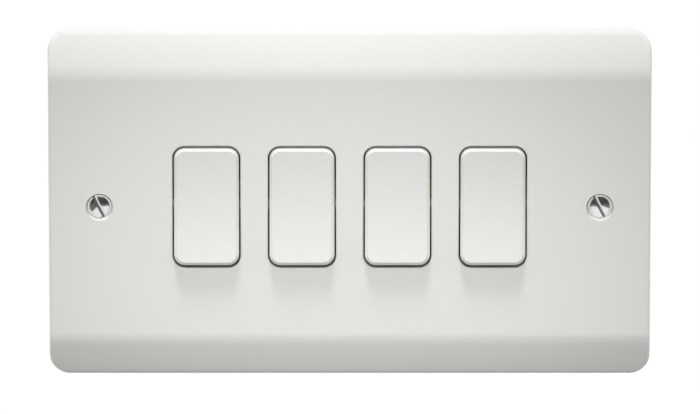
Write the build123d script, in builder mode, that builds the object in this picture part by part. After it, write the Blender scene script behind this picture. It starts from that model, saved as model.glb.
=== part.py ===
from build123d import *
import os
from math import cos, pi, radians, sin, sqrt, tan

# Four-gang light switch on a plate for a twin wall box.
# Millimetres. X runs right, Z up and Y into the wall. The plate's back rim lies on Y = 0.

# Plate
PLATE_W = 145.4
PLATE_H = 86.0
PLATE_D = 6.2
PLATE_WALL = 2.2
SIDE_DRAFT = 2.5
CORNER_R = 5.7
EDGE_R = 0.8
BEND_R = 11.0
SLOPE_R = 41.5
BROW_R = 2.5
BEND_END = 19.5
SLOPE_END = 30.0
BROW_END = 80.0

# Gangs and their apertures
GANGS = 4
PITCH = 23.0
APERTURE_W = 16.4
APERTURE_H = 30.3
APERTURE_R = 3.0
APERTURE_EDGE = 0.3
COLLAR_WALL = 1.4

# Rocker
ROCKER_GAP = 0.37
ROCKER_END_GAP = 0.65
ROCKER_TAPER = 0.2
ROCKER_PROUD = 1.4
ROCKER_DISH = 1.0
ROCKER_TILT = 4.5
ROCKER_SKIN = 1.3
ROCKER_SKIRT = 2.6
ROCKER_EDGE = 0.7
ROCKER_RIB = 1.2
PIVOT_DEPTH = 4.2
PIN_R = 1.1
PIN_SLIP = 0.05
PIN_REST = 0.1
LOBE_R = 2.3

# Plunger and spring
TUBE_R = 3.2
TUBE_WALL = 1.0
TUBE_REACH = 6.0
PLUNGER_SLIP = 0.15
PLUNGER_BODY = 5.5
PLUNGER_NOSE_R = 0.5
PLUNGER_TAPER = 1.8
PLUNGER_REACH = 10.3
WIRE_R = 0.25
SPRING_R = 1.65
SPRING_TURNS = 3
SPRING_STEPS = 9
SEAT_GAP = 0.05

# See-saw contact
SEESAW_TILT = 9.5
SEESAW_W = 5.0
SEESAW_END = 0.1
SEESAW_T = 1.5
NOSE_GAP = 0.1
FULCRUM_R = 0.8
FULCRUM_SLIP = 0.05
FULCRUM_W = 6.0
FULCRUM_WEB = 1.0
TIP_SPREAD = 9.0
TIP_W = 3.2
MOVING_TIP_H = 3.0
MOVING_TIP_T = 0.7
FIXED_TIP_H = 3.4
FIXED_TIP_T = 0.8
MOVING_CROWN_R = 3.5
FIXED_CROWN_R = 4.0
TIP_GAP = 0.06

# Terminals
STRIP_T = 1.0
STRIP_W = 3.6
STRIP_GAP = 0.35
PILLAR_D = 6.8
PILLAR_H = 8.0
PILLAR_DROP = 2.4
PILLAR_STEP = 0.5
WIRE_BORE_R = 1.8
WIRE_FLOOR = 1.2
CLAMP_R = 1.75
CLAMP_LENGTH = 5.0
CLAMP_SLIP = 0.05
SLOT_W = 0.8
SLOT_DEPTH = 0.8

# Switch base
BASE_GAP = 1.5
BASE_WALL = 1.5
BASE_FLOOR = 1.5
SWING_ROOM = 2.6
FLANGE_T = 2.0
FLANGE_LIP = 2.9
FLANGE_TOE = 1.6
POCKET_SLIP = 0.1
POCKET_WALL = 1.0
POCKET_END = 1.35

# Snap hooks that hold the bases
HOOK_W = 8.0
HOOK_T = 1.3
HOOK_BARB = 0.9
HOOK_NOSE = 1.5
HOOK_SLIP = 0.05

# Fixing screws and their pillars
FIXING_CENTRES = 120.6
FIXING_HOLE_R = 2.0
FIXING_HEAD_R = 2.9
FIXING_DOME = 0.75
FIXING_SHANK_R = 1.55
FIXING_THREAD_R = 1.75
FIXING_TIP = 18.0
FIXING_THREAD_START = 0.5
FIXING_SEAT = 0.12
FIXING_SLOT_W = 0.8
FIXING_SLOT_TURN = 25.7
SINK_R = 3.35
SINK_DEEP = 0.9
FIXING_PILLAR_R = 4.2
FIXING_PILLAR_REAR = -0.4

# Stiffening ribs behind the plate
RIB_T = 1.4
RIB_DEPTH = 2.2
RIB_INSET = 15.5
RIB_CLEAR = 9.3

# Levels that follow from the sizes above
GANG_X = [PITCH * (i - (GANGS - 1) / 2) for i in range(GANGS)]
FRONT_Y = -PLATE_D
INNER_Y = FRONT_Y + PLATE_WALL
PIVOT_Y = FRONT_Y + PIVOT_DEPTH
COLLAR_REAR = PIVOT_Y + PIN_R + PIN_REST
FLANGE_REAR = COLLAR_REAR + FLANGE_T
SEESAW_FRONT = PIVOT_Y + PLUNGER_REACH + NOSE_GAP
FULCRUM_Y = SEESAW_FRONT + SEESAW_T
SEESAW_LENGTH = 2 * TIP_SPREAD + MOVING_TIP_H + 2 * SEESAW_END
CROWN_IN = MOVING_TIP_T - MOVING_CROWN_R
CROWN_Y = FULCRUM_Y + CROWN_IN * cos(radians(SEESAW_TILT)) + TIP_SPREAD * sin(radians(SEESAW_TILT))
CROWN_Z = CROWN_IN * sin(radians(SEESAW_TILT)) - TIP_SPREAD * cos(radians(SEESAW_TILT))
CROWN_SPAN = MOVING_CROWN_R + FIXED_CROWN_R + TIP_GAP
TIP_MEET = CROWN_Y + sqrt(CROWN_SPAN**2 - (CROWN_Z + TIP_SPREAD) ** 2) - FIXED_CROWN_R
STRIP_FRONT = TIP_MEET + FIXED_TIP_T
FLOOR_FRONT = STRIP_FRONT + STRIP_T
BASE_REAR = FLOOR_FRONT + BASE_FLOOR
BASE_W = PITCH - BASE_GAP
CHAMBER_W = BASE_W - 2 * BASE_WALL
CHAMBER_TOP = SEESAW_LENGTH / 2 + SWING_ROOM
BASE_TOP = CHAMBER_TOP + BASE_WALL
FLANGE_TOP = BASE_TOP + FLANGE_LIP
PILLAR_TOP = -SEESAW_LENGTH / 2 - PILLAR_DROP
WALL_LOW = PILLAR_TOP + POCKET_SLIP
CHAMBER_LOW = WALL_LOW + BASE_WALL
PILLAR_LOW = PILLAR_TOP - PILLAR_H
FLANGE_LOW = PILLAR_LOW - FLANGE_TOE
PILLAR_REAR = FLOOR_FRONT + PILLAR_STEP
PILLAR_FRONT = PILLAR_REAR - PILLAR_D
BORE_Y = PILLAR_FRONT + WIRE_FLOOR + WIRE_BORE_R
CLAMP_TIP = BORE_Y + WIRE_BORE_R + POCKET_SLIP
POCKET_W = (BASE_W - 2 * POCKET_END - 2 * POCKET_WALL) / 3
PILLAR_W = POCKET_W - 2 * POCKET_SLIP
PILLAR_X = [-POCKET_W - POCKET_WALL, 0.0, POCKET_W + POCKET_WALL]
PILLAR_Z = PILLAR_TOP - PILLAR_H / 2
RISER_X = CHAMBER_W / 2 - STRIP_GAP - STRIP_W / 2
FIXING_X = FIXING_CENTRES / 2
RIB_X = FIXING_X - RIB_CLEAR
RIB_Z = PLATE_H / 2 - RIB_INSET
BORE_R = TUBE_R - TUBE_WALL
ROCKER_W = APERTURE_W - 2 * ROCKER_GAP
FACE_U = -PIVOT_DEPTH - ROCKER_PROUD
SKIRT_HALF = APERTURE_H / 2 - ROCKER_END_GAP
FACE_HALF = SKIRT_HALF - ROCKER_TAPER
SKIRT_U = -PIVOT_DEPTH + ROCKER_SKIRT
DISH_U = FACE_U + ROCKER_DISH
UNDERSIDE_U = DISH_U + ROCKER_SKIN
PLUNGER_BACK = PLUNGER_REACH - PLUNGER_TAPER - PLUNGER_BODY


def facing(y):
    # Plane at depth y seen from the front: X right, Z up, extruded towards the viewer
    return Plane.XZ.offset(-y)


# Rocker and see-saw are drawn as they lie in use: (u, w) runs along the plunger and up the face
ROCKER_SIDE = Plane(
    origin=(0, PIVOT_Y, 0),
    x_dir=(0, cos(radians(ROCKER_TILT)), -sin(radians(ROCKER_TILT))),
    z_dir=(1, 0, 0),
)
ROCKER_FACE = Plane(origin=ROCKER_SIDE.origin, x_dir=(1, 0, 0), z_dir=-ROCKER_SIDE.x_dir)
SEESAW_SIDE = Plane(
    origin=(0, FULCRUM_Y, 0),
    x_dir=(0, cos(radians(SEESAW_TILT)), sin(radians(SEESAW_TILT))),
    z_dir=(1, 0, 0),
)


def sweep_of(radius, start, end):
    # Height and depth that an arc of the plate's section covers between two slopes
    rise = radius * (sin(radians(end)) - sin(radians(start)))
    fall = radius * (cos(radians(start)) - cos(radians(end)))
    return rise, fall


SECTION_ARCS = [(BEND_R, 0.0, BEND_END), (SLOPE_R, BEND_END, SLOPE_END), (BROW_R, SLOPE_END, BROW_END)]
SECTION_RISE = sum(sweep_of(*arc)[0] for arc in SECTION_ARCS)
SECTION_FALL = sum(sweep_of(*arc)[1] for arc in SECTION_ARCS)
RIM_SET = (PLATE_D - SECTION_FALL) * tan(radians(SIDE_DRAFT))
FLAT_Z = PLATE_H / 2 - RIM_SET - SECTION_RISE


def moulding(inset):
    # Outer form of the plate, or with an inset the hollow behind it
    rear = 0.0 if inset == 0 else 1.0
    with BuildPart() as form:
        with BuildSketch(Plane.YZ):
            with BuildLine():
                flat = Line((FRONT_Y + inset, 0), (FRONT_Y + inset, FLAT_Z))
                bend = JernArc(flat @ 1, flat % 1, BEND_R - inset, -BEND_END)
                slope = JernArc(bend @ 1, bend % 1, SLOPE_R - inset, BEND_END - SLOPE_END)
                brow = JernArc(slope @ 1, slope % 1, BROW_R - inset, SLOPE_END - BROW_END)
                lip = Line(brow @ 1, brow @ 1 + (brow % 1) * PLATE_D)
                Polyline(lip @ 1, (rear + PLATE_D, (lip @ 1).Y), (rear + PLATE_D, 0), flat @ 0)
            make_face()
        extrude(amount=PLATE_W, both=True)
        mirror(about=Plane.XY)
        with BuildSketch(facing(rear)):
            RectangleRounded(PLATE_W - 2 * inset, PLATE_H - 2 * inset, CORNER_R - inset)
        extrude(amount=PLATE_D + rear, taper=SIDE_DRAFT, mode=Mode.INTERSECT)
        if inset == 0:
            side = form.faces().sort_by(Axis.X)[-1]
            front = form.faces().sort_by(Axis.Y)[0]
            fillet(front.edges() & side.edges(), radius=EDGE_R)
    return form.part


with BuildPart() as front_plate:
    add(moulding(0))
    add(moulding(PLATE_WALL), mode=Mode.SUBTRACT)
    # Collars, fixing pillars, ribs and hooks stand on the inner face
    with BuildSketch(facing(COLLAR_REAR)):
        with Locations(*[(x, 0) for x in GANG_X]):
            RectangleRounded(
                APERTURE_W + 2 * COLLAR_WALL, APERTURE_H + 2 * COLLAR_WALL, APERTURE_R + COLLAR_WALL
            )
    extrude(amount=COLLAR_REAR - INNER_Y + PLATE_WALL / 2)
    with BuildSketch(facing(FIXING_PILLAR_REAR)):
        with Locations((-FIXING_X, 0), (FIXING_X, 0)):
            Circle(FIXING_PILLAR_R)
    extrude(amount=FIXING_PILLAR_REAR - INNER_Y + PLATE_WALL / 2)
    with BuildSketch(facing(INNER_Y + RIB_DEPTH)):
        with Locations((0, RIB_Z), (0, -RIB_Z)):
            Rectangle(2 * RIB_X + RIB_T, RIB_T)
        with Locations((-RIB_X, 0), (RIB_X, 0)):
            Rectangle(RIB_T, 2 * RIB_Z)
    extrude(amount=RIB_DEPTH + PLATE_WALL / 2)
    for gang_x in GANG_X:
        for edge_z, out in ((FLANGE_TOP, 1), (FLANGE_LOW, -1)):
            stem = edge_z + out * HOOK_SLIP
            catch = FLANGE_REAR + HOOK_SLIP
            with BuildSketch(Plane.YZ.offset(gang_x)):
                Polygon(
                    (INNER_Y - PLATE_WALL / 2, stem),
                    (catch, stem),
                    (catch, stem - out * HOOK_BARB),
                    (catch + HOOK_NOSE, stem + out * HOOK_T / 2),
                    (catch + HOOK_NOSE, stem + out * HOOK_T),
                    (INNER_Y - PLATE_WALL / 2, stem + out * HOOK_T),
                    align=None,
                )
            extrude(amount=HOOK_W / 2, both=True)
    # Apertures, with saddles for the rocker pins open to the rear
    with BuildSketch(facing(COLLAR_REAR)):
        with Locations(*[(x, 0) for x in GANG_X]):
            RectangleRounded(APERTURE_W, APERTURE_H, APERTURE_R)
    extrude(amount=COLLAR_REAR - FRONT_Y, mode=Mode.SUBTRACT)
    face = front_plate.faces().sort_by(Axis.Y)[0]
    chamfer(face.inner_wires().edges(), length=APERTURE_EDGE)
    for gang_x in GANG_X:
        with BuildSketch(Plane.YZ.offset(gang_x)):
            with Locations((PIVOT_Y, 0)):
                Circle(PIN_R + PIN_SLIP)
                Rectangle(
                    COLLAR_REAR - PIVOT_Y, 2 * (PIN_R + PIN_SLIP), align=(Align.MIN, Align.CENTER)
                )
        extrude(amount=APERTURE_W / 2 + 2 * COLLAR_WALL, both=True, mode=Mode.SUBTRACT)
    # Fixing holes, with a straight recess for the head above each countersink
    with BuildSketch(facing(FIXING_PILLAR_REAR)):
        with Locations((-FIXING_X, 0), (FIXING_X, 0)):
            Circle(FIXING_HOLE_R)
    extrude(amount=FIXING_PILLAR_REAR - FRONT_Y, mode=Mode.SUBTRACT)
    with BuildSketch(facing(FRONT_Y + SINK_DEEP)) as sinks:
        with Locations((-FIXING_X, 0), (FIXING_X, 0)):
            Circle(SINK_R)
    extrude(amount=SINK_DEEP, mode=Mode.SUBTRACT)
    extrude(sinks.sketch, amount=FIXING_HOLE_R - SINK_R, taper=45, mode=Mode.SUBTRACT)


with BuildPart() as rocker:
    with BuildSketch(ROCKER_SIDE):
        with BuildLine():
            ThreePointArc((FACE_U, -FACE_HALF), (DISH_U, 0), (FACE_U, FACE_HALF))
            Polyline(
                (FACE_U, FACE_HALF),
                (SKIRT_U, SKIRT_HALF),
                (SKIRT_U, -SKIRT_HALF),
                (FACE_U, -FACE_HALF),
            )
        make_face()
    extrude(amount=ROCKER_W / 2, both=True)
    ends = rocker.faces().filter_by(GeomType.PLANE).sort_by(Axis.Z)
    walls = rocker.faces().filter_by(Axis.X)
    corners = (ends[0].edges() + ends[-1].edges()) & walls.edges()
    fillet(corners, radius=APERTURE_R - ROCKER_GAP)
    dished = rocker.faces().filter_by(GeomType.CYLINDER).sort_by(SortBy.AREA)[-1]
    chamfer(dished.edges(), length=ROCKER_EDGE)
    # Hollow underside with lobes for the pins, the spring tube and its rib
    with BuildSketch(ROCKER_FACE.offset(-SKIRT_U)):
        RectangleRounded(
            ROCKER_W - 2 * ROCKER_SKIN, 2 * (FACE_HALF - ROCKER_SKIN), APERTURE_R - ROCKER_SKIN
        )
    extrude(amount=SKIRT_U - UNDERSIDE_U, mode=Mode.SUBTRACT)
    for side in (-1, 1):
        with BuildSketch(ROCKER_SIDE.offset(side * ROCKER_W / 2)):
            Circle(LOBE_R)
            Rectangle(-SKIRT_U + ROCKER_SKIN / 2, 2 * LOBE_R, align=(Align.MAX, Align.CENTER))
        extrude(amount=-side * ROCKER_SKIN)
        with BuildSketch(ROCKER_SIDE.offset(side * ROCKER_W / 2)):
            Circle(PIN_R)
        extrude(amount=side * (ROCKER_GAP + COLLAR_WALL))
    with BuildSketch(ROCKER_FACE.offset(-TUBE_REACH)):
        Circle(TUBE_R)
    extrude(amount=TUBE_REACH - UNDERSIDE_U + ROCKER_SKIN / 2)
    with BuildSketch(ROCKER_FACE):
        Rectangle(ROCKER_W - ROCKER_SKIN, ROCKER_RIB)
    extrude(amount=-UNDERSIDE_U + ROCKER_SKIN / 2)
    with BuildSketch(ROCKER_FACE.offset(-TUBE_REACH)):
        Circle(BORE_R)
    extrude(amount=TUBE_REACH - UNDERSIDE_U, mode=Mode.SUBTRACT)


with BuildPart() as plunger:
    with BuildSketch(ROCKER_SIDE):
        Polygon(
            (PLUNGER_BACK, 0),
            (PLUNGER_BACK, BORE_R - PLUNGER_SLIP),
            (PLUNGER_BACK + PLUNGER_BODY, BORE_R - PLUNGER_SLIP),
            (PLUNGER_REACH, PLUNGER_NOSE_R),
            (PLUNGER_REACH, 0),
            align=None,
        )
    revolve(axis=Axis(ROCKER_SIDE.origin, ROCKER_SIDE.x_dir))


with BuildPart() as plunger_spring:
    # Coil between the rocker's underside and the plunger, in short straight steps
    coil_start = UNDERSIDE_U + SEAT_GAP + WIRE_R
    coil_length = PLUNGER_BACK - SEAT_GAP - WIRE_R - coil_start
    coil_base = Plane(
        origin=ROCKER_SIDE.origin + ROCKER_SIDE.x_dir * coil_start,
        x_dir=(1, 0, 0),
        z_dir=ROCKER_SIDE.x_dir,
    )
    coil_points = []
    for step in range(SPRING_TURNS * SPRING_STEPS + 1):
        turned = 2 * pi * step / SPRING_STEPS
        climb = coil_length * step / (SPRING_TURNS * SPRING_STEPS)
        place = Vector(SPRING_R * cos(turned), SPRING_R * sin(turned), climb)
        coil_points.append(coil_base.from_local_coords(place))
    with BuildLine() as coil:
        Polyline(*coil_points)
    with BuildSketch(Plane(coil.line @ 0, z_dir=coil.line % 0)):
        RegularPolygon(WIRE_R, 6)
    sweep(path=coil.line, transition=Transition.RIGHT)


with BuildPart() as moving_contact:
    with BuildSketch(SEESAW_SIDE):
        Rectangle(SEESAW_T, SEESAW_LENGTH, align=(Align.MAX, Align.CENTER))
        Circle(FULCRUM_R + FULCRUM_SLIP, mode=Mode.SUBTRACT)
    extrude(amount=SEESAW_W / 2, both=True)


def crowned_tip(seat, spread, out, height, thickness, crown):
    # Pad cut from rolled contact strip: flat back on the seat, face crowned towards out
    drop = crown - sqrt(crown**2 - (height / 2) ** 2)
    with BuildPart() as tip:
        with BuildSketch(seat):
            with BuildLine():
                low = (0, spread - height / 2)
                high = (0, spread + height / 2)
                shoulder_low = (out * (thickness - drop), spread - height / 2)
                shoulder_high = (out * (thickness - drop), spread + height / 2)
                Polyline(shoulder_low, low, high, shoulder_high)
                ThreePointArc(shoulder_high, (out * thickness, spread), shoulder_low)
            make_face()
        extrude(amount=TIP_W / 2, both=True)
    return tip.part


with BuildPart() as moving_tips:
    for spread in (-TIP_SPREAD, TIP_SPREAD):
        add(crowned_tip(SEESAW_SIDE, spread, 1, MOVING_TIP_H, MOVING_TIP_T, MOVING_CROWN_R))


with BuildPart() as fixed_tips:
    for spread in (-TIP_SPREAD, TIP_SPREAD):
        tip_seat = Plane((0, STRIP_FRONT, 0), x_dir=(0, 1, 0), z_dir=(1, 0, 0))
        add(crowned_tip(tip_seat, spread, -1, FIXED_TIP_H, FIXED_TIP_T, FIXED_CROWN_R))


def strip(left, right, low, high):
    # Flat brass lying on the floor of the contact chamber
    with BuildPart() as flat:
        with BuildSketch(facing(FLOOR_FRONT)):
            with Locations(((left + right) / 2, (low + high) / 2)):
                Rectangle(right - left, high - low)
        extrude(amount=STRIP_T)
    return flat.part


def pillar(x):
    # Terminal block with a conductor bore from below and a clamp screw's thread from the rear
    with BuildPart() as block:
        with BuildSketch(facing(PILLAR_REAR)):
            with Locations((x, PILLAR_Z)):
                Rectangle(PILLAR_W, PILLAR_H)
        extrude(amount=PILLAR_D)
        with BuildSketch(Plane.XY.offset(PILLAR_LOW)):
            with Locations((x, BORE_Y)):
                Circle(WIRE_BORE_R)
        extrude(amount=PILLAR_H, mode=Mode.SUBTRACT)
        with BuildSketch(facing(PILLAR_REAR)):
            with Locations((x, PILLAR_Z)):
                Circle(CLAMP_R + CLAMP_SLIP)
        extrude(amount=PILLAR_REAR - BORE_Y, mode=Mode.SUBTRACT)
    return block.part


with BuildPart() as upper_terminal:
    add(pillar(PILLAR_X[0]))
    add(strip(-RISER_X - STRIP_W / 2, -RISER_X + STRIP_W / 2, PILLAR_TOP, TIP_SPREAD + STRIP_W / 2))
    add(strip(-RISER_X, STRIP_W / 2, TIP_SPREAD - STRIP_W / 2, TIP_SPREAD + STRIP_W / 2))


with BuildPart() as lower_terminal:
    add(pillar(PILLAR_X[1]))
    add(strip(-STRIP_W / 2, STRIP_W / 2, PILLAR_TOP, -TIP_SPREAD + STRIP_W / 2))


with BuildPart() as common_terminal:
    add(pillar(PILLAR_X[2]))
    add(strip(RISER_X - STRIP_W / 2, RISER_X + STRIP_W / 2, PILLAR_TOP, STRIP_W / 2))
    add(strip(-FULCRUM_W / 2, RISER_X, -STRIP_W / 2, STRIP_W / 2))
    with BuildSketch(Plane.YZ):
        with Locations((FULCRUM_Y, 0)):
            Circle(FULCRUM_R)
            Rectangle(STRIP_FRONT - FULCRUM_Y, FULCRUM_WEB, align=(Align.MIN, Align.CENTER))
    extrude(amount=FULCRUM_W / 2, both=True)


with BuildPart() as terminal_screws:
    with BuildSketch(facing(CLAMP_TIP + CLAMP_LENGTH)):
        with Locations(*[(x, PILLAR_Z) for x in PILLAR_X]):
            Circle(CLAMP_R)
    extrude(amount=CLAMP_LENGTH)
    with BuildSketch(facing(CLAMP_TIP + CLAMP_LENGTH)):
        with Locations(*[(x, PILLAR_Z) for x in PILLAR_X]):
            Rectangle(SLOT_W, 2 * CLAMP_R)
    extrude(amount=SLOT_DEPTH, mode=Mode.SUBTRACT)


with BuildPart() as switch_base:
    # Flange held against the plate's collar by the hooks
    with BuildSketch(facing(FLANGE_REAR)):
        with Locations((0, FLANGE_LOW)):
            Rectangle(BASE_W, FLANGE_TOP - FLANGE_LOW, align=(Align.CENTER, Align.MIN))
    extrude(amount=FLANGE_T)
    # Contact chamber
    with BuildSketch(facing(BASE_REAR)):
        with Locations((0, WALL_LOW)):
            Rectangle(BASE_W, BASE_TOP - WALL_LOW, align=(Align.CENTER, Align.MIN))
    extrude(amount=BASE_REAR - FLANGE_REAR)
    # Terminal block with three pockets open to the rear and below, hollow in front of them
    with BuildSketch(facing(PILLAR_REAR)):
        with Locations((0, WALL_LOW)):
            Rectangle(BASE_W, WALL_LOW - PILLAR_LOW, align=(Align.CENTER, Align.MAX))
    extrude(amount=PILLAR_REAR - FLANGE_REAR)
    with BuildSketch(facing(PILLAR_REAR)):
        with Locations(*[(x, WALL_LOW) for x in PILLAR_X]):
            Rectangle(POCKET_W, WALL_LOW - PILLAR_LOW, align=(Align.CENTER, Align.MAX))
    extrude(amount=PILLAR_D, mode=Mode.SUBTRACT)
    with BuildSketch(facing(PILLAR_FRONT - BASE_FLOOR)):
        with Locations((0, WALL_LOW)):
            Rectangle(CHAMBER_W, WALL_LOW - PILLAR_LOW, align=(Align.CENTER, Align.MAX))
    extrude(amount=PILLAR_FRONT - BASE_FLOOR - FLANGE_REAR, mode=Mode.SUBTRACT)
    with BuildSketch(facing(FLOOR_FRONT)):
        with Locations((0, CHAMBER_LOW)):
            Rectangle(CHAMBER_W, CHAMBER_TOP - CHAMBER_LOW, align=(Align.CENTER, Align.MIN))
    extrude(amount=FLOOR_FRONT - FLANGE_REAR, mode=Mode.SUBTRACT)
    with BuildSketch(facing(FLANGE_REAR)):
        with Locations((0, CHAMBER_LOW)):
            Rectangle(APERTURE_W, CHAMBER_TOP - CHAMBER_LOW, align=(Align.CENTER, Align.MIN))
    extrude(amount=FLANGE_T, mode=Mode.SUBTRACT)
    # Notches that let the strips out of the chamber
    with BuildSketch(facing(FLOOR_FRONT)):
        with Locations(*[(x, WALL_LOW) for x in (-RISER_X, 0, RISER_X)]):
            Rectangle(STRIP_W + 2 * POCKET_SLIP, BASE_WALL, align=(Align.CENTER, Align.MIN))
    extrude(amount=STRIP_T + POCKET_SLIP, mode=Mode.SUBTRACT)


with BuildPart() as fixing_screw:
    cone_tip_y = FRONT_Y + SINK_DEEP + SINK_R - FIXING_SEAT * sqrt(2)
    rim_y = cone_tip_y - FIXING_HEAD_R
    neck_y = cone_tip_y - FIXING_SHANK_R
    with BuildSketch(Plane.XY):
        with BuildLine():
            SagittaArc((-FIXING_HEAD_R, rim_y), (FIXING_HEAD_R, rim_y), -FIXING_DOME)
            Polyline(
                (FIXING_HEAD_R, rim_y),
                (FIXING_SHANK_R, neck_y),
                (FIXING_SHANK_R, FIXING_THREAD_START),
                (FIXING_THREAD_R, FIXING_THREAD_START),
                (FIXING_THREAD_R, FIXING_TIP),
                (-FIXING_THREAD_R, FIXING_TIP),
                (-FIXING_THREAD_R, FIXING_THREAD_START),
                (-FIXING_SHANK_R, FIXING_THREAD_START),
                (-FIXING_SHANK_R, neck_y),
                (-FIXING_HEAD_R, rim_y),
            )
        make_face()
        split(bisect_by=Plane.YZ)
    revolve(axis=Axis.Y)
    with BuildSketch(facing(rim_y)):
        Rectangle(FIXING_SLOT_W, 3 * FIXING_HEAD_R, rotation=FIXING_SLOT_TURN)
    extrude(amount=2 * FIXING_DOME, mode=Mode.SUBTRACT)


with BuildPart() as fixing_screws:
    with Locations((-FIXING_X, 0, 0), (FIXING_X, 0, 0)):
        add(fixing_screw.part)


os.makedirs("parts", exist_ok=True)

for label, piece in (
    ("front_plate", front_plate),
    ("fixing_screws", fixing_screws),
):
    piece.part.label = label
    export_step(piece.part, f"parts/{label}.step")

for number, gang_x in enumerate(GANG_X, start=1):
    for label, piece in (
        ("rocker", rocker),
        ("plunger", plunger),
        ("plunger_spring", plunger_spring),
        ("moving_contact", moving_contact),
        ("moving_tips", moving_tips),
        ("fixed_tips", fixed_tips),
        ("upper_terminal", upper_terminal),
        ("lower_terminal", lower_terminal),
        ("common_terminal", common_terminal),
        ("terminal_screws", terminal_screws),
        ("switch_base", switch_base),
    ):
        with BuildPart() as placed:
            with Locations((gang_x, 0, 0)):
                add(piece.part)
        placed.part.label = f"{label}_{number}"
        export_step(placed.part, f"parts/{label}_{number}.step")
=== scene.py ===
# %% [markdown]
# # A four-gang light switch
# The switch is a white moulded plate with four rockers, two slotted fixing screws and, behind the
# plate, four switch bases with their brass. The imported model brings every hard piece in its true
# size and place, so this lesson dresses those pieces, rounds their edges, and adds what a lathe, a
# thread roller and a spring winder make.

# %% The frame and its box
import bpy
import bmesh
from math import cos, pi, radians, sin, sqrt
from mathutils import Matrix, Vector


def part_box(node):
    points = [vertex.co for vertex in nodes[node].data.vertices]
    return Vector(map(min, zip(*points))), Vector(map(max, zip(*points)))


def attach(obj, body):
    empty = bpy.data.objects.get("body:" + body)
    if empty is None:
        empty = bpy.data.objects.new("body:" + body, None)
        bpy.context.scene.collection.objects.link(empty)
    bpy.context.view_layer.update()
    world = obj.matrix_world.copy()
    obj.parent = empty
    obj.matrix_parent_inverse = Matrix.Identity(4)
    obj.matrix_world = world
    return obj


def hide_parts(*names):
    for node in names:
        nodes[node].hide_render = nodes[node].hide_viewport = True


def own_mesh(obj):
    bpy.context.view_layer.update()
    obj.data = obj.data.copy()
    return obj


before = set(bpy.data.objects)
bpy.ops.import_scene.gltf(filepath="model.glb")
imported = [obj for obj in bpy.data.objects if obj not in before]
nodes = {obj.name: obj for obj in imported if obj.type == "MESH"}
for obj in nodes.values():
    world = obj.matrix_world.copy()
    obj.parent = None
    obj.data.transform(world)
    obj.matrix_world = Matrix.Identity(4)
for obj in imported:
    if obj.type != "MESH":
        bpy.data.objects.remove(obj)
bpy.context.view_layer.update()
GANGS = (1, 2, 3, 4)
MM = 0.001


def family(name):
    # A piece's name without the number of its gang
    return name.rstrip("_1234")


# %% [markdown]
# ## Rounding the moulded edges
# A moulding tool is polished with a small radius on every edge, and that radius is what catches the
# light. It could be cut into the solids, but a Bevel modifier gives it without touching the packed
# mesh. The mesh arrives in separate triangles, so a Weld joins them and a Decimate, set to dissolve,
# makes each flat face whole. After the bevel the faces are shaded smooth up to an angle, and normals
# weighted by face area keep the broad faces flat, so that all the turning is in the narrow ones.

# %% Smooth shading up to an angle
SMOOTH_DEGREES = 32
SMOOTH_ANGLE = radians(SMOOTH_DEGREES)


def shade_by_angle():
    # A small node group: every face smooth, every edge sharper than SMOOTH_ANGLE kept sharp
    group = bpy.data.node_groups.new("smooth by angle", "GeometryNodeTree")
    group.is_modifier = True
    for way in ("INPUT", "OUTPUT"):
        group.interface.new_socket("Geometry", in_out=way, socket_type="NodeSocketGeometry")
    start = group.nodes.new("NodeGroupInput")
    end = group.nodes.new("NodeGroupOutput")
    faces = group.nodes.new("GeometryNodeSetShadeSmooth")
    edges = group.nodes.new("GeometryNodeSetShadeSmooth")
    edges.domain = "EDGE"
    edges.inputs["Shade Smooth"].default_value = False
    angle = group.nodes.new("GeometryNodeInputMeshEdgeAngle")
    sharper = group.nodes.new("FunctionNodeCompare")
    sharper.operation = "GREATER_THAN"
    sharper.inputs[1].default_value = SMOOTH_ANGLE
    group.links.new(start.outputs[0], faces.inputs["Geometry"])
    group.links.new(faces.outputs[0], edges.inputs["Geometry"])
    group.links.new(angle.outputs["Unsigned Angle"], sharper.inputs[0])
    group.links.new(sharper.outputs[0], edges.inputs["Selection"])
    group.links.new(edges.outputs[0], end.inputs[0])
    return group


SMOOTH_GROUP = shade_by_angle()
print("edges sharper than", SMOOTH_DEGREES, "degrees stay sharp")

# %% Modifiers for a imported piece
WELD_GAP = 0.002 * MM
FLAT_ANGLE = radians(0.5)
BROAD_WEIGHT = 80
EDGE_STEPS = 2
ROCKER_STEPS = 6


def round_edges(piece, width, steps=EDGE_STEPS):
    weld = piece.modifiers.new("one skin", "WELD")
    weld.merge_threshold = WELD_GAP
    flat = piece.modifiers.new("flat faces whole", "DECIMATE")
    flat.decimate_type = "DISSOLVE"
    flat.angle_limit = FLAT_ANGLE
    bevel = piece.modifiers.new("moulded radius", "BEVEL")
    bevel.width = width
    bevel.segments = steps
    bevel.limit_method = "ANGLE"
    bevel.angle_limit = SMOOTH_ANGLE
    bevel.use_clamp_overlap = True
    smooth = piece.modifiers.new("smooth faces", "NODES")
    smooth.node_group = SMOOTH_GROUP
    weigh = piece.modifiers.new("broad faces lead", "WEIGHTED_NORMAL")
    weigh.keep_sharp = True
    weigh.weight = BROAD_WEIGHT


print("a rounded edge has", EDGE_STEPS, "steps, on a rocker", ROCKER_STEPS)

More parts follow.
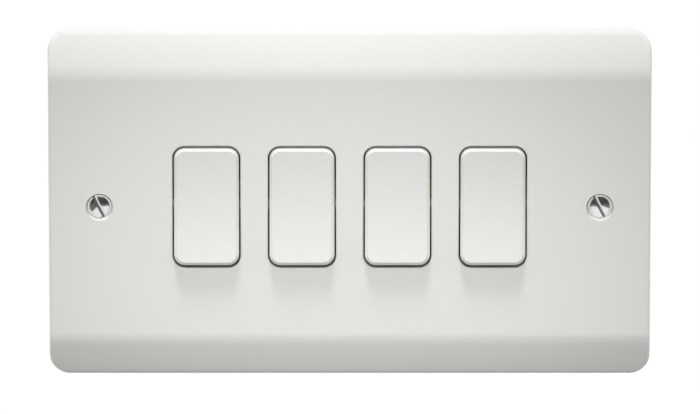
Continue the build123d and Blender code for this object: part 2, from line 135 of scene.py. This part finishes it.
# %% Where each rounding goes
EDGE_WIDTHS = {
    "front_plate": 0.15 * MM,
    "rocker": 0.47 * MM,
    "switch_base": 0.12 * MM,
    "plunger": 0.10 * MM,
    "upper_terminal": 0.08 * MM,
    "lower_terminal": 0.08 * MM,
    "common_terminal": 0.08 * MM,
    "moving_contact": 0.08 * MM,
    "moving_tips": 0.06 * MM,
    "fixed_tips": 0.06 * MM,
}
for name, piece in nodes.items():
    kind = family(name)
    if kind in EDGE_WIDTHS:
        round_edges(piece, EDGE_WIDTHS[kind], ROCKER_STEPS if kind == "rocker" else EDGE_STEPS)
print("rounded:", sum(1 for p in nodes.values() if p.modifiers), "packed pieces")

# %% [markdown]
# ## White moulding powder
# The plate and rockers are pressed from a hard thermosetting powder. Its white is a little warm, its
# gloss is that of the polished tool, and close up it has a faint unevenness from the flow of the
# powder. A Principled shader carries it: two close whites mixed by fine noise, a roughness that
# wanders a little, and a very shallow bump. One flat white would do from afar, but it looks like
# paper close up. Noise is read in object space, so its grain has a true size.
# The rockers take a slightly darker copy of the same white: painted shade that dims their faces.

# %% A shader and its noise
def finish(name, **sockets):
    material = bpy.data.materials.new(name)
    material.use_nodes = True
    shader = material.node_tree.nodes["Principled BSDF"]
    for socket, value in sockets.items():
        shader.inputs[socket].default_value = value
    return material, material.node_tree, shader


def grain(tree, scale, detail, stretch=None):
    # Noise in object space; a stretch below 1 draws it out along that axis
    place = tree.nodes.new("ShaderNodeTexCoord")
    noise = tree.nodes.new("ShaderNodeTexNoise")
    noise.inputs["Scale"].default_value = scale
    noise.inputs["Detail"].default_value = detail
    spot = place.outputs["Object"]
    if stretch is not None:
        mapping = tree.nodes.new("ShaderNodeMapping")
        mapping.inputs["Scale"].default_value = stretch
        tree.links.new(spot, mapping.inputs["Vector"])
        spot = mapping.outputs["Vector"]
    tree.links.new(spot, noise.inputs["Vector"])
    return noise.outputs["Fac"]


print("helpers for finishes:", finish.__name__, "and", grain.__name__)

# %% What the noise drives: colour, roughness and relief
NOISE_LOW = 0.2
NOISE_HIGH = 0.8


def two_tones(tree, shader, fac, low, high, span):
    ramp = tree.nodes.new("ShaderNodeValToRGB")
    for end, (tone, position) in enumerate(zip((low, high), span)):
        ramp.color_ramp.elements[end].position = position
        ramp.color_ramp.elements[end].color = (*tone, 1.0)
    tree.links.new(fac, ramp.inputs["Fac"])
    tree.links.new(ramp.outputs["Color"], shader.inputs["Base Color"])


def wander(tree, shader, fac, low, high):
    spread = tree.nodes.new("ShaderNodeMapRange")
    spread.inputs["From Min"].default_value = NOISE_LOW
    spread.inputs["From Max"].default_value = NOISE_HIGH
    spread.inputs["To Min"].default_value = low
    spread.inputs["To Max"].default_value = high
    tree.links.new(fac, spread.inputs["Value"])
    tree.links.new(spread.outputs["Result"], shader.inputs["Roughness"])


def relief(tree, shader, fac, depth):
    bump = tree.nodes.new("ShaderNodeBump")
    bump.inputs["Strength"].default_value = 1.0
    bump.inputs["Distance"].default_value = depth
    tree.links.new(fac, bump.inputs["Height"])
    tree.links.new(bump.outputs["Normal"], shader.inputs["Normal"])


print("noise from", NOISE_LOW, "to", NOISE_HIGH, "spans each roughness")

# %% The two whites
WHITE_NOISES = ((240.0, 5.0), (300.0, 4.0), (700.0, 1.0))
WHITE_SPAN = (0.25, 0.75)
WHITE_IOR = 1.55
WHITE_RELIEF = 0.0008 * MM


def plastic(name, ior, low, high, span, gloss, depth, noises):
    # The noises, each a scale and a detail, are for colour, roughness and relief
    material, tree, shader = finish(name, IOR=ior)
    tones, shine, bumps = [grain(tree, scale, detail) for scale, detail in noises]
    two_tones(tree, shader, tones, low, high, span)
    wander(tree, shader, shine, *gloss)
    relief(tree, shader, bumps, depth)
    return material


def white_moulding(name, low, high, gloss):
    return plastic(name, WHITE_IOR, low, high, WHITE_SPAN, gloss, WHITE_RELIEF, WHITE_NOISES)


PLATE_WHITE = white_moulding(
    "white plate", (0.796, 0.800, 0.766), (0.802, 0.806, 0.774), (0.28, 0.30)
)
# Painted shade: the rockers' white is a little darker than the plate's, to dim faces that the lamps
# light too brightly
ROCKER_SHADED_WHITE = white_moulding(
    "rocker white with painted shade", (0.776, 0.780, 0.747), (0.779, 0.783, 0.751), (0.274, 0.279)
)
print("whites:", PLATE_WHITE.name, "and", ROCKER_SHADED_WHITE.name)

# %% [markdown]
# ## Dark bases, plungers and metals
# Behind the plate the bodies are a dark heat-proof nylon with the fine matt grain of a spark-eroded
# tool. The plungers are white acetal. Brass strip keeps the long streaks of the rolling mill and a
# little tarnish; the contact tips are silver alloy; the screws are plated. Streaks could be painted
# on an image, but noise stretched along one axis gives them without one.

# %% Base and plunger plastics
MIDDLE_SPAN = (0.35, 0.65)
BASE_NYLON = plastic(
    "dark base nylon",
    ior=1.53,
    low=(0.094, 0.093, 0.095),
    high=(0.128, 0.127, 0.129),
    span=MIDDLE_SPAN,
    gloss=(0.48, 0.62),
    depth=0.012 * MM,
    noises=((90.0, 3.0), (400.0, 3.0), (4200.0, 1.0)),
)
PLUNGER_ACETAL = plastic(
    "plunger acetal",
    ior=1.48,
    low=(0.80, 0.79, 0.73),
    high=(0.86, 0.85, 0.80),
    span=MIDDLE_SPAN,
    gloss=(0.30, 0.42),
    depth=0.004 * MM,
    noises=((300.0, 3.0), (900.0, 3.0), (2500.0, 3.0)),
)
print("plastics:", BASE_NYLON.name, "and", PLUNGER_ACETAL.name)

# %% Brass, silver, plating and spring wire
METAL_TONE_SCALE = 160.0
METAL_TONE_DETAIL = 6.0
METAL_SPAN = (0.38, 0.62)
STREAK_DETAIL = 4.0
STREAK_RELIEF = 0.003 * MM
# Name, darker and lighter tone, least and most roughness, stretch of the streaks, their scale
METALS = (
    ("rolled brass", (0.60, 0.41, 0.16), (0.76, 0.56, 0.25), (0.22, 0.40), (1, 1, 0.06), 2600.0),
    ("contact silver", (0.74, 0.72, 0.67), (0.86, 0.85, 0.82), (0.22, 0.36), (1, 1, 1), 1800.0),
    ("bright plating", (0.78, 0.78, 0.77), (0.84, 0.84, 0.83), (0.10, 0.20), (1, 0.15, 1), 900.0),
    ("zinc plating", (0.60, 0.59, 0.55), (0.70, 0.69, 0.66), (0.24, 0.38), (1, 0.2, 1), 1500.0),
    ("spring wire", (0.40, 0.40, 0.41), (0.55, 0.55, 0.56), (0.22, 0.34), (1, 1, 1), 2400.0),
)


def metal(name, low, high, gloss, streak, streak_scale):
    material, tree, shader = finish(name, Metallic=1.0)
    tones = grain(tree, METAL_TONE_SCALE, METAL_TONE_DETAIL)
    two_tones(tree, shader, tones, low, high, METAL_SPAN)
    lines = grain(tree, streak_scale, STREAK_DETAIL, streak)
    wander(tree, shader, lines, *gloss)
    relief(tree, shader, lines, STREAK_RELIEF)
    return material


BRASS, SILVER, BRIGHT_PLATE, ZINC_PLATE, SPRING_WIRE = [metal(*row) for row in METALS]
print("metals:", ", ".join(row[0] for row in METALS))

# %% Every piece gets its finish
FINISH_OF = {
    "front_plate": PLATE_WHITE,
    "rocker": ROCKER_SHADED_WHITE,
    "switch_base": BASE_NYLON,
    "plunger": PLUNGER_ACETAL,
    "moving_contact": BRASS,
    "upper_terminal": BRASS,
    "lower_terminal": BRASS,
    "common_terminal": BRASS,
    "moving_tips": SILVER,
    "fixed_tips": SILVER,
    "fixing_screws": BRIGHT_PLATE,
    "terminal_screws": ZINC_PLATE,
    "plunger_spring": SPRING_WIRE,
}
for name, piece in nodes.items():
    piece.data.materials.clear()
    piece.data.materials.append(FINISH_OF[family(name)])
print("finishes:", len({m.name for m in FINISH_OF.values()}))

# %% [markdown]
# ## Turned screws with rolled threads
# A screw is a turned blank with a thread rolled on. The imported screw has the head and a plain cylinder
# at the thread's outer size, so here the whole screw is made again, inside that size. A Screw modifier
# could wind the thread, but its ends would stay open. Here the thread is a grid wrapped round the axis
# and sheared by one pitch for each turn, so that its rows follow the helix exactly; rows beyond either
# end are pressed onto the end circle and merged. The head is spun from a profile, and its slot is cut
# out with a Boolean, as a saw would cut it.

# %% Spinning a profile
AROUND = 48


def ring(bm, radius, y):
    turns = [2 * pi * i / AROUND for i in range(AROUND)]
    return [bm.verts.new((radius * cos(turn), y, radius * sin(turn))) for turn in turns]


def join_rings(bm, front, rear):
    for i in range(len(front)):
        j = (i + 1) % len(front)
        bm.faces.new((front[i], front[j], rear[j], rear[i]))


def spin(bm, profile):
    # Runs from the front of the axis to the rear; a first or last radius of 0 closes that end
    rings = []
    for radius, y in profile:
        rings.append([bm.verts.new((0, y, 0))] if radius == 0 else ring(bm, radius, y))
    for front, rear in zip(rings, rings[1:]):
        if len(front) == 1:
            for i in range(AROUND):
                bm.faces.new((front[0], rear[(i + 1) % AROUND], rear[i]))
        elif len(rear) == 1:
            for i in range(AROUND):
                bm.faces.new((front[i], front[(i + 1) % AROUND], rear[0]))
        else:
            join_rings(bm, front, rear)


print("a spun ring has", AROUND, "points")

# %% Rolling a thread
# Places along one pitch, with the height there as a share of the thread's depth
THREAD_PHASES = ((0.0, 0.0), (0.10, 0.0), (0.44, 1.0), (0.56, 1.0), (0.90, 0.0))
PRESSED_FLAT = 1e-9


def thread(bm, start, end, crest, depth, pitch):
    # Helical rows from start to end along Y, fading out over one pitch at each end. They begin a
    # turn before the start and go on past the end, because the shear takes up a whole turn.
    last_turn = int((end - start) / pitch) + 3
    rows = [
        (turn + phase, height) for turn in range(-1, last_turn) for phase, height in THREAD_PHASES
    ]
    per_turn = len(THREAD_PHASES)
    grid = []
    for i in range(AROUND):
        column = []
        for place, height in rows:
            y = min(max(start + pitch * (place + i / AROUND), start), end)
            fade = min(1.0, (y - start) / pitch, (end - y) / pitch)
            radius = crest - depth + depth * height * fade
            angle = 2 * pi * i / AROUND
            column.append(bm.verts.new((radius * cos(angle), y, radius * sin(angle))))
        grid.append(column)
    for i in range(AROUND):
        wrap = i == AROUND - 1
        for k in range(len(rows) - 1 - (per_turn if wrap else 0)):
            beside, row = (grid[0], k + per_turn) if wrap else (grid[i + 1], k)
            corners = (grid[i][k], beside[row], beside[row + 1], grid[i][k + 1])
            if max(c.co.y for c in corners) - min(c.co.y for c in corners) > PRESSED_FLAT:
                bm.faces.new(corners)


print("a thread has", len(THREAD_PHASES), "rows to a turn")

# %% From loose faces to a piece
JOIN_GAP = 2e-7


def add_object(name, data):
    thing = bpy.data.objects.new(name, data)
    bpy.context.scene.collection.objects.link(thing)
    return thing


def mesh_from(name, bm):
    mesh = bpy.data.meshes.new(name)
    bm.to_mesh(mesh)
    bm.free()
    return mesh


def as_piece(name, bm, material):
    bmesh.ops.remove_doubles(bm, verts=bm.verts, dist=JOIN_GAP)
    bmesh.ops.dissolve_degenerate(bm, edges=bm.edges, dist=JOIN_GAP)
    loose = [v for v in bm.verts if not v.link_faces]
    bmesh.ops.delete(bm, geom=loose, context="VERTS")
    bmesh.ops.recalc_face_normals(bm, faces=bm.faces)
    mesh = mesh_from(name, bm)
    mesh.materials.append(material)
    return add_object(name, mesh)


def remove_piece(piece):
    mesh = piece.data
    bpy.data.objects.remove(piece)
    bpy.data.meshes.remove(mesh)


def join_copies(name, sources, moves, material):
    # One piece out of moved copies of finished meshes
    bm = bmesh.new()
    for source, move in zip(sources, moves):
        part = source.data.copy()
        part.transform(move)
        bm.from_mesh(part)
        bpy.data.meshes.remove(part)
    return as_piece(name, bm, material)


print("points closer than", JOIN_GAP, "m become one")

# %% Sawing a slot
# Length of a saw cut in radii of the screw, so that it runs out on both sides
SAW_REACH = 4


def saw_slot(piece, outline, length, turn):
    # Cuts a straight slot of the given cross-section, turned about the screw's own axis
    bm = bmesh.new()
    near = [bm.verts.new((x, y, -length / 2)) for x, y in outline]
    far = [bm.verts.new((x, y, length / 2)) for x, y in outline]
    bm.faces.new(near)
    bm.faces.new(list(reversed(far)))
    join_rings(bm, near, far)
    bmesh.ops.recalc_face_normals(bm, faces=bm.faces)
    bm.transform(Matrix.Rotation(turn, 4, "Y"))
    saw = add_object("saw", mesh_from("saw", bm))
    cut = piece.modifiers.new("slot", "BOOLEAN")
    cut.operation = "DIFFERENCE"
    cut.solver = "EXACT"
    cut.object = saw
    bpy.context.view_layer.update()
    sawn = piece.evaluated_get(bpy.context.evaluated_depsgraph_get())
    result = bpy.data.meshes.new_from_object(sawn)
    piece.modifiers.clear()
    old = piece.data
    piece.data = result
    bpy.data.meshes.remove(old)
    remove_piece(saw)


print("a saw cut is", SAW_REACH, "radii long")

# %% Sizes of the fixing screws
FIXING_X = 60.3 * MM
HEAD_R = 2.9 * MM
DOME_EDGE_R = 2.52 * MM
RING_OUT_R = 2.84 * MM
RING_STEP = 0.06 * MM
DOME = 0.58 * MM
DOME_STEPS = 12
SHANK_R = 1.55 * MM
THREAD_R = 1.75 * MM
THREAD_DEPTH = 0.34 * MM
THREAD_PITCH = 0.6 * MM
THREAD_START = 0.5 * MM
POINT_LENGTH = 0.4 * MM
POINT_TAPER = 0.35 * MM
FIXING_EDGE = 0.05 * MM
screw_low, screw_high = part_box("fixing_screws")
DOME_TOP = screw_low.y
SCREW_END = screw_high.y
RIM = DOME_TOP + DOME + RING_STEP
DOME_R = (DOME_EDGE_R**2 + DOME**2) / (2 * DOME)
# The slot's floor slopes on the left and is level on the right: one strip mirrors dark, one bright
SLOT_TURN = radians(-25.7)
SLOT_OUTLINE = (
    (-0.50 * MM, DOME_TOP - 0.10 * MM),
    (-0.46 * MM, RIM - 0.04 * MM),
    (-0.11 * MM, RIM + 0.11 * MM),
    (0.42 * MM, RIM + 0.10 * MM),
    (0.46 * MM, DOME_TOP - 0.10 * MM),
)
print("screw from", round(DOME_TOP, 5), "to", round(SCREW_END, 5), "m, dome", round(DOME_R, 5), "m")

# %% The two fixing screws
def head_profile():
    # Shallow dome, then a turned flat ring and the small chamfer that ends it
    points = [(0, DOME_TOP)]
    for i in range(1, DOME_STEPS + 1):
        r = DOME_EDGE_R * i / DOME_STEPS
        points.append((r, DOME_TOP + DOME_R - sqrt(DOME_R**2 - r**2)))
    points.append((DOME_EDGE_R + RING_STEP / 3, RIM))
    return points + [(RING_OUT_R, RIM), (HEAD_R, RIM + HEAD_R - RING_OUT_R)]


bm = bmesh.new()
neck = RIM + 2 * HEAD_R - RING_OUT_R - SHANK_R
root = THREAD_R - THREAD_DEPTH
thread_end = SCREW_END - POINT_LENGTH
spin(bm, head_profile() + [(SHANK_R, neck), (SHANK_R, THREAD_START), (root, THREAD_START)])
thread(bm, THREAD_START, thread_end, THREAD_R, THREAD_DEPTH, THREAD_PITCH)
spin(bm, [(root, thread_end), (root - POINT_TAPER, SCREW_END), (0, SCREW_END)])
blank = as_piece("screw_blank", bm, BRIGHT_PLATE)
saw_slot(blank, SLOT_OUTLINE, SAW_REACH * HEAD_R, SLOT_TURN)
fixing = join_copies(
    "fixing_screw_pair",
    (blank, blank),
    (Matrix.Translation((-FIXING_X, 0, 0)), Matrix.Translation((FIXING_X, 0, 0))),
    BRIGHT_PLATE,
)
remove_piece(blank)
round_edges(fixing, FIXING_EDGE)
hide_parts("fixing_screws")
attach(fixing, "switch")
print("fixing screws:", len(fixing.data.polygons), "faces")

# %% [markdown]
# ## Clamp screws in the terminals
# Each terminal block is closed by a short headless screw that pinches the conductor. Twelve of them
# stand out at the back. One screw could be copied twelve times, but no two real ones end up turned
# alike, so each gets its own slot angle from a short fixed list.

# %% One clamp screw
CLAMP_R = 1.75 * MM
CLAMP_DEPTH = 0.30 * MM
CLAMP_PITCH = 0.6 * MM
CLAMP_NOSE = 0.3 * MM
CLAMP_CHAMFER = 0.1 * MM
CLAMP_SLOT_HALF = 0.4 * MM
CLAMP_SLOT_DEEP = 0.8 * MM
CLAMP_EDGE = 0.04 * MM


def clamp_screw(low_y, high_y, turn):
    bm = bmesh.new()
    root = CLAMP_R - CLAMP_DEPTH
    start, end = low_y + CLAMP_NOSE, high_y - CLAMP_NOSE
    spin(bm, [(0, low_y), (root - CLAMP_NOSE, low_y), (root, start)])
    thread(bm, start, end, CLAMP_R, CLAMP_DEPTH, CLAMP_PITCH)
    spin(bm, [(root, end), (root - CLAMP_CHAMFER, high_y), (0, high_y)])
    screw = as_piece("clamp_blank", bm, ZINC_PLATE)
    wide, floor_y, top_y = CLAMP_SLOT_HALF, high_y - CLAMP_SLOT_DEEP, high_y + CLAMP_SLOT_DEEP
    outline = ((-wide, floor_y), (wide, floor_y), (wide, top_y), (-wide, top_y))
    saw_slot(screw, outline, SAW_REACH * CLAMP_R, radians(turn))
    return screw


print("clamp thread:", CLAMP_R, "m in radius,", CLAMP_PITCH, "m pitch")

# %% Twelve clamp screws
# Degrees, for the left, middle and right screw of each gang
SLOT_TURNS = {1: (12, 70, -35), 2: (48, -8, 85), 3: (22, -62, 5), 4: (-20, 58, -78)}
for gang in GANGS:
    low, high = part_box(f"terminal_screws_{gang}")
    middle = (low + high) / 2
    spread = (high.x - low.x) / 2 - CLAMP_R
    blanks = [clamp_screw(low.y, high.y, turn) for turn in SLOT_TURNS[gang]]
    moves = [Matrix.Translation((middle.x + spread * k, 0, middle.z)) for k in (-1, 0, 1)]
    screws = join_copies(f"clamp_screws_{gang}", blanks, moves, ZINC_PLATE)
    for blank in blanks:
        remove_piece(blank)
    round_edges(screws, CLAMP_EDGE)
    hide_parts(f"terminal_screws_{gang}")
    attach(screws, "switch")
print("clamp screws:", len(screws.data.polygons), "faces in each gang")

# %% [markdown]
# ## Wound plunger springs
# The spring behind each plunger is wound from round wire with its end turns closed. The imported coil
# goes in short straight steps, so a smooth one takes its place: a ring of points carried along a helix
# whose pitch is tight at both ends. A bevelled curve could do it too, but in mesh code the pitch of
# every turn is plain to see.

# %% The coil
TILT = radians(4.5)
ALONG = Vector((0, cos(TILT), -sin(TILT)))
ACROSS = Vector((1, 0, 0))
PIVOT = Vector((0, -2.0, 0)) * MM
WIRE_R = 0.24 * MM
COIL_R = 1.65 * MM
COIL_START = -3.25 * MM
COIL_END = 2.95 * MM
COIL_TURNS = 5.0
CLOSED_SHARE = 0.045
STEPS_A_TURN = 28
WIRE_SIDES = 8


def coil_climb(turned):
    # Share of the coil's length reached after some turns: the first and last turn lie nearly flat
    if turned < 1:
        return CLOSED_SHARE * turned
    if turned > COIL_TURNS - 1:
        return 1 - CLOSED_SHARE * (COIL_TURNS - turned)
    return CLOSED_SHARE + (1 - 2 * CLOSED_SHARE) * (turned - 1) / (COIL_TURNS - 2)


def wound_spring(name, x):
    bm = bmesh.new()
    up = ALONG.cross(ACROSS)
    length = COIL_END - COIL_START - 2 * WIRE_R
    last = None
    for i in range(int(COIL_TURNS * STEPS_A_TURN) + 1):
        turned = i / STEPS_A_TURN
        out = ACROSS * cos(2 * pi * turned) + up * sin(2 * pi * turned)
        climb = COIL_START + WIRE_R + length * coil_climb(turned)
        spot = PIVOT + Vector((x, 0, 0)) + ALONG * climb + out * COIL_R
        loop = []
        for k in range(WIRE_SIDES):
            a = 2 * pi * k / WIRE_SIDES
            loop.append(bm.verts.new(spot + (out * cos(a) + ALONG * sin(a)) * WIRE_R))
        if last is None:
            bm.faces.new(loop)
        else:
            join_rings(bm, last, loop)
        last = loop
    bm.faces.new(list(reversed(last)))
    return as_piece(name, bm, SPRING_WIRE)


print("coil of", COIL_TURNS, "turns,", round(COIL_END - COIL_START, 5), "m long")

# %% Four springs
for gang in GANGS:
    low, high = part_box(f"plunger_spring_{gang}")
    spring = wound_spring(f"wound_spring_{gang}", (low.x + high.x) / 2)
    for face in spring.data.polygons:
        face.use_smooth = True
    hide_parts(f"plunger_spring_{gang}")
    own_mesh(spring)
    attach(spring, f"rocker_{gang}")
print("springs:", len(spring.data.polygons), "faces each")

# %% [markdown]
# ## Floor and sky
# The picture is a plain studio one, white all round. A large floor below the switch gives the light
# that comes back up. Camera, glossy and transmission rays see it nearly white, so that the background
# is white and the plating has something bright to mirror, and a share of plain diffuse keeps the
# shadow. For the light itself the floor is duller, because the underside of the real plate is in half
# shade. The sky lights from the sides and not from overhead: light from straight above comes from the
# lamp, and more of it would burn out the top edge.

# %% White for the eye, plain for the light
def bright_to_camera(tree, plain, bright):
    # A bright shader for camera, glossy and transmission rays, a plain one for all others
    path = tree.nodes.new("ShaderNodeLightPath")
    seen = tree.nodes.new("ShaderNodeMath")
    seen.operation = "MAXIMUM"
    any_ray = tree.nodes.new("ShaderNodeMath")
    any_ray.operation = "MAXIMUM"
    mix = tree.nodes.new("ShaderNodeMixShader")
    tree.links.new(path.outputs["Is Camera Ray"], seen.inputs[0])
    tree.links.new(path.outputs["Is Glossy Ray"], seen.inputs[1])
    tree.links.new(seen.outputs[0], any_ray.inputs[0])
    tree.links.new(path.outputs["Is Transmission Ray"], any_ray.inputs[1])
    tree.links.new(any_ray.outputs[0], mix.inputs[0])
    tree.links.new(plain.outputs[0], mix.inputs[1])
    tree.links.new(bright.outputs[0], mix.inputs[2])
    return mix


def stage_material(name, pale, bounce, share):
    # Pale where it is looked at, with a share of plain white; duller for the light it sends back
    material = bpy.data.materials.new(name)
    material.use_nodes = True
    tree = material.node_tree
    tree.nodes.clear()
    plain = tree.nodes.new("ShaderNodeBsdfDiffuse")
    plain.inputs["Color"].default_value = (*bounce, 1.0)
    looked_at = tree.nodes.new("ShaderNodeBsdfDiffuse")
    looked_at.inputs["Color"].default_value = (*pale, 1.0)
    bright = tree.nodes.new("ShaderNodeEmission")
    bright.inputs["Strength"].default_value = 1.0
    blend = tree.nodes.new("ShaderNodeMixShader")
    blend.inputs[0].default_value = share
    tree.links.new(looked_at.outputs[0], blend.inputs[1])
    tree.links.new(bright.outputs[0], blend.inputs[2])
    out = tree.nodes.new("ShaderNodeOutputMaterial")
    tree.links.new(bright_to_camera(tree, plain, blend).outputs[0], out.inputs["Surface"])
    return material


print("helpers for the stage:", bright_to_camera.__name__, "and", stage_material.__name__)

# %% Floor
FLOOR_Z = -0.080
FLOOR_HALF = 12.0
FLOOR_PALE = (0.95, 0.95, 0.95)
FLOOR_BOUNCE = (0.17, 0.17, 0.167)
FLOOR_SHARE = 0.82


def stage_sheet(name, corners, material):
    mesh = bpy.data.meshes.new(name)
    mesh.from_pydata(corners, [], [(0, 1, 2, 3)])
    mesh.materials.append(material)
    sheet = add_object(name, mesh)
    return sheet


def level(x0, x1, y0, y1, z):
    return [(x0, y0, z), (x1, y0, z), (x1, y1, z), (x0, y1, z)]


stage_sheet(
    "floor",
    level(-FLOOR_HALF, FLOOR_HALF, -FLOOR_HALF, FLOOR_HALF, FLOOR_Z),
    stage_material("pale floor", FLOOR_PALE, FLOOR_BOUNCE, FLOOR_SHARE),
)
print("floor at", FLOOR_Z, "m,", 2 * FLOOR_HALF, "m wide")

# %% Sky
SKY_SIDE = 1.33
SKY_TOP = 0.0
SKY_WHITE = (1, 1, 1, 1)
world = bpy.data.worlds.new("studio")
bpy.context.scene.world = world
world.use_nodes = True
sky = world.node_tree
sky.nodes.clear()
way = sky.nodes.new("ShaderNodeTexCoord")
split = sky.nodes.new("ShaderNodeSeparateXYZ")
rise = sky.nodes.new("ShaderNodeMapRange")
rise.inputs["To Min"].default_value = SKY_SIDE
rise.inputs["To Max"].default_value = SKY_TOP
graded = sky.nodes.new("ShaderNodeBackground")
graded.inputs["Color"].default_value = SKY_WHITE
sky.links.new(way.outputs["Generated"], split.inputs["Vector"])
sky.links.new(split.outputs["Z"], rise.inputs["Value"])
sky.links.new(rise.outputs["Result"], graded.inputs["Strength"])
seen_white = sky.nodes.new("ShaderNodeBackground")
seen_white.inputs["Color"].default_value = SKY_WHITE
seen_white.inputs["Strength"].default_value = 1.0
sky_out = sky.nodes.new("ShaderNodeOutputWorld")
sky_mix = bright_to_camera(sky, graded, seen_white)
sky.links.new(sky_mix.outputs[0], sky_out.inputs["Surface"])
print("sky", SKY_SIDE, "at the sides,", SKY_TOP, "overhead")

# %% [markdown]
# ## Dark cards for the screw heads
# Bright metal only looks like metal when it has something dark to mirror. A photographer stands black
# cards round the set, so six do that here: one in front, one at each side, and three on the floor that
# leave a bright patch before the switch. They are hidden from every ray but the mirrored ones, so they
# shade nothing. The edge of the patch is what draws the line between the dark upper half of each domed
# head and its bright lower half.

# %% Six dark cards
CARD_GREY = (0.11, 0.11, 0.11, 1)
CARD_ROUGHNESS = 0.9
STUDIO = 3.4
FRONT_CARD_TOP = 2.65
SIDE_CARD_TOP = 3.0
SIDE_CARD_BACK = 1.0
SWEEP_FRONT = -0.36
SWEEP_BACK = -0.05
SWEEP_LEFT = -0.13
SWEEP_RIGHT = 0.20
CARD_LIFT = 0.002
SHEET_Z = FLOOR_Z + CARD_LIFT
CARD_SOCKETS = {"Base Color": CARD_GREY, "Roughness": CARD_ROUGHNESS}
card_material = finish("dark card", **CARD_SOCKETS)[0]


def upright(x0, y0, x1, y1, top):
    return [(x0, y0, SHEET_Z), (x1, y1, SHEET_Z), (x1, y1, top), (x0, y0, top)]


CARDS = {
    "dark_front": upright(-STUDIO, -STUDIO, STUDIO, -STUDIO, FRONT_CARD_TOP),
    "dark_left": upright(-STUDIO, -STUDIO, -STUDIO, SIDE_CARD_BACK, SIDE_CARD_TOP),
    "dark_right": upright(STUDIO, -STUDIO, STUDIO, SIDE_CARD_BACK, SIDE_CARD_TOP),
    "dark_floor_front": level(-STUDIO, STUDIO, -STUDIO, SWEEP_FRONT, SHEET_Z),
    "dark_floor_left": level(-STUDIO, SWEEP_LEFT, SWEEP_FRONT, SWEEP_BACK, SHEET_Z),
    "dark_floor_right": level(SWEEP_RIGHT, STUDIO, SWEEP_FRONT, SWEEP_BACK, SHEET_Z),
}
for name, corners in CARDS.items():
    # Only mirrored rays meet a card: it neither shows, nor shades, nor lights anything
    card = stage_sheet(name, corners, card_material)
    card.visible_camera = False
    card.visible_diffuse = False
    card.visible_transmission = False
    card.visible_shadow = False
print("bright patch:", SWEEP_LEFT, "to", SWEEP_RIGHT, "m wide, out to", SWEEP_FRONT, "m")

# %% [markdown]
# ## Lamps
# A soft lamp high above the plate makes the sloped top edge the brightest part and puts a short shadow
# under each rocker; its height sets the length of that shadow. Two weak lamps almost in line with the
# plate brighten only the sides of the rockers. A narrow pool of light below the middle gives the plate
# its gentle fall-off towards the ends. Key and pool are left out of mirrored rays, which would show
# them as hard spots in the gloss.

# %% Key and side fills
KEY_ELEVATION = 76.5
KEY_SIDE = -5.0
KEY_STRENGTH = 2.115
KEY_SOFTNESS = 13.0
FILL_ELEVATION = 6.0
FILL_SIDE = 84.0
FILL_STRENGTH = 0.18
FILL_SOFTNESS = 20.0


def sun(name, elevation, side, strength, softness):
    lamp = bpy.data.lights.new(name, "SUN")
    lamp.energy = strength
    lamp.angle = radians(softness)
    holder = add_object(name, lamp)
    e, s = radians(elevation), radians(side)
    towards = Vector((sin(s) * cos(e), -cos(s) * cos(e), sin(e)))
    holder.rotation_euler = towards.to_track_quat("Z", "Y").to_euler()
    return holder


key = sun("key_light", KEY_ELEVATION, KEY_SIDE, KEY_STRENGTH, KEY_SOFTNESS)
key.visible_glossy = False
for name, side in (("left_fill", -FILL_SIDE), ("right_fill", FILL_SIDE)):
    sun(name, FILL_ELEVATION, side, FILL_STRENGTH, FILL_SOFTNESS)
print("key", KEY_STRENGTH, "at", KEY_ELEVATION, "degrees")
print("fills", FILL_STRENGTH, "at", FILL_SIDE, "degrees to each side")

# %% Pool of light below the middle of the plate
POOL_TARGET = Vector((-4.0, -6.2, -16.0)) * MM
POOL_FROM = Vector((-0.3, -2.7, 1.5))
POOL_CONE = 2.7
POOL_ENERGY = 144.0
POOL_LAMP_R = 0.03
POOL_STRETCH = (1.45, 1.0, 1.0)
pool_lamp = bpy.data.lights.new("pool_light", "SPOT")
pool_lamp.energy = POOL_ENERGY
pool_lamp.spot_size = radians(POOL_CONE)
pool_lamp.spot_blend = 1.0
pool_lamp.shadow_soft_size = POOL_LAMP_R
pool = add_object("pool_light", pool_lamp)
pool.location = POOL_FROM
pool.rotation_euler = (POOL_FROM - POOL_TARGET).to_track_quat("Z", "Y").to_euler()
pool.scale = POOL_STRETCH
pool.visible_glossy = False
print("pool light", POOL_ENERGY, "W in a cone of", POOL_CONE, "degrees")

# %% [markdown]
# ## Camera
# The plate was taken square on, from a little above and from far off: its sides run parallel and its
# height is only slightly foreshortened. An orthographic camera would come close, but a long lens at a
# distance keeps the trace of perspective. The focal length follows from the scale of the picture, in
# pixels to a millimetre of the plate's face.

# %% Long lens
ELEVATION = radians(15.0)
DISTANCE = 2.6
FRAME_PX = 700
PX_PER_MM = 4.151
FACE_CENTRE = Vector((0, -6.2, 0)) * MM
OFF_CENTRE_PX = (0.3, -0.5)
back = Vector((0, -cos(ELEVATION), sin(ELEVATION)))
turn = back.to_track_quat("Z", "Y")
right = turn @ Vector((1, 0, 0))
up = turn @ Vector((0, 1, 0))
aim = FACE_CENTRE + (right * OFF_CENTRE_PX[0] - up * OFF_CENTRE_PX[1]) * MM / PX_PER_MM
lens = bpy.data.cameras.new("long_lens")
lens.sensor_width = 36.0
lens.lens = lens.sensor_width * DISTANCE / (FRAME_PX / PX_PER_MM * MM)
lens.clip_start = 0.1
lens.clip_end = 60.0
camera = add_object("camera", lens)
camera.location = aim + back * DISTANCE
camera.rotation_mode = "QUATERNION"
camera.rotation_quaternion = turn
bpy.context.scene.camera = camera
bpy.context.scene.view_settings.view_transform = "Standard"
print("lens", round(lens.lens, 1), "mm at", DISTANCE, "m")
